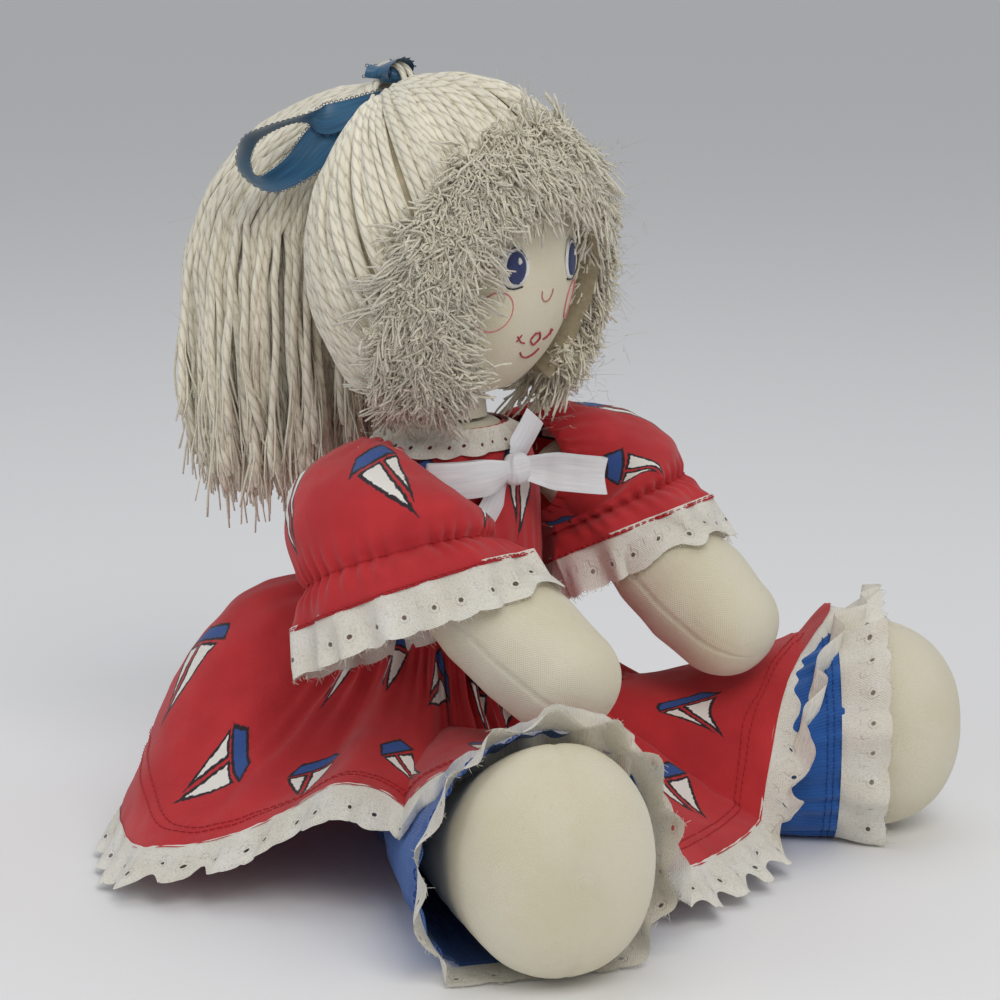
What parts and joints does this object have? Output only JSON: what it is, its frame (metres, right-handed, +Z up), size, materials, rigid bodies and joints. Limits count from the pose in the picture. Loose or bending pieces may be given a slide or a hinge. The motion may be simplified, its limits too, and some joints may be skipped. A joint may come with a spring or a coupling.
{
  "type": "rag doll",
  "caption": "Seated soft rag doll with a cream yarn ponytail, a red puff-sleeved dress, blue pantaloons and eyelet lace trim",
  "frame": {"origin": "centre of the flat patch of the seat that rests on the ground", "axes": "+Z up, the doll looks along -Y, its right side is -X"},
  "size_m": [0.3448, 0.3262, 0.3475],
  "materials": {
    "muslin": "matt cream cotton muslin",
    "fibrefill": "loose polyester fibrefill",
    "red_cotton": "matt printed cotton",
    "blue_knit": "matt fine-ribbed cotton",
    "eyelet_lace": "sheer cotton eyelet",
    "white_satin": "satin ribbon",
    "blue_satin": "satin ribbon with looped edges",
    "cream_yarn": "fuzzy plied acrylic yarn",
    "white_elastic": "woven elastic",
    "nickel": "nickel-plated, satin"
  },
  "bodies": {
    "torso": {"torso_skin": "muslin", "torso_stuffing": "fibrefill", "dress_bodice": "red_cotton", "back_placket": "red_cotton", "press_stud_1": "nickel", "press_stud_2": "nickel", "press_stud_3": "nickel", "skirt": "red_cotton", "skirt_hem_lace": "eyelet_lace", "neck_lace": "eyelet_lace", "bow_knot": "white_satin", "bow_loop_right": "white_satin", "bow_loop_left": "white_satin", "bow_tail_right": "white_satin", "bow_tail_left": "white_satin", "pantaloon_seat": "blue_knit", "waist_elastic": "white_elastic"},
    "neck": {"neck": "muslin"},
    "head": {"head_skin": "muslin", "head_stuffing": "fibrefill", "hair_cap": "cream_yarn", "hair_fringe": "cream_yarn"},
    "ponytail": {"ponytail": "cream_yarn", "ponytail_tie": "cream_yarn", "hair_ribbon_knot": "blue_satin", "hair_ribbon_loop_near": "blue_satin", "hair_ribbon_loop_far": "blue_satin"},
    "arm_right": {"arm_skin_right": "muslin", "arm_stuffing_right": "fibrefill", "sleeve_right": "red_cotton", "sleeve_lace_right": "eyelet_lace", "sleeve_elastic_right": "white_elastic"},
    "leg_right": {"leg_skin_right": "muslin", "foot_right": "muslin", "leg_stuffing_right": "fibrefill", "pantaloon_leg_right": "blue_knit", "pantaloon_lace_right": "eyelet_lace"},
    "arm_left": {"arm_skin_left": "muslin", "arm_stuffing_left": "fibrefill", "sleeve_left": "red_cotton", "sleeve_lace_left": "eyelet_lace", "sleeve_elastic_left": "white_elastic"},
    "leg_left": {"leg_skin_left": "muslin", "foot_left": "muslin", "leg_stuffing_left": "fibrefill", "pantaloon_leg_left": "blue_knit", "pantaloon_lace_left": "eyelet_lace"}
  },
  "joints": [
    {"name": "neck_turn", "type": "hinge", "parent": "torso", "child": "neck", "pos_m": [0, 0, 0.19], "axis": [0, 0, 1], "range_deg": [-40, 40]},
    {"name": "neck_nod", "type": "hinge", "parent": "neck", "child": "head", "pos_m": [0, 0, 0.2015], "axis": [1, 0, 0], "range_deg": [-15, 10]},
    {"name": "ponytail_swing", "type": "hinge", "parent": "head", "child": "ponytail", "pos_m": [0, 0.03, 0.3284], "axis": [1, 0, 0], "range_deg": [0, 40]},
    {"name": "shoulder_right", "type": "hinge", "parent": "torso", "child": "arm_right", "pos_m": [-0.069, -0.003, 0.162], "axis": [1, 0, 0], "range_deg": [-50, 0]},
    {"name": "shoulder_left", "type": "hinge", "parent": "torso", "child": "arm_left", "pos_m": [0.069, -0.003, 0.162], "axis": [1, 0, 0], "range_deg": [-50, 0]},
    {"name": "hip_right", "type": "hinge", "parent": "torso", "child": "leg_right", "pos_m": [-0.042, -0.036, 0.038], "axis": [1, 0, 0], "range_deg": [0, 60], "deforming": ["skirt", "skirt_hem_lace"]},
    {"name": "hip_left", "type": "hinge", "parent": "torso", "child": "leg_left", "pos_m": [0.042, -0.036, 0.038], "axis": [1, 0, 0], "range_deg": [0, 60], "deforming": ["skirt", "skirt_hem_lace"]}
  ]
}
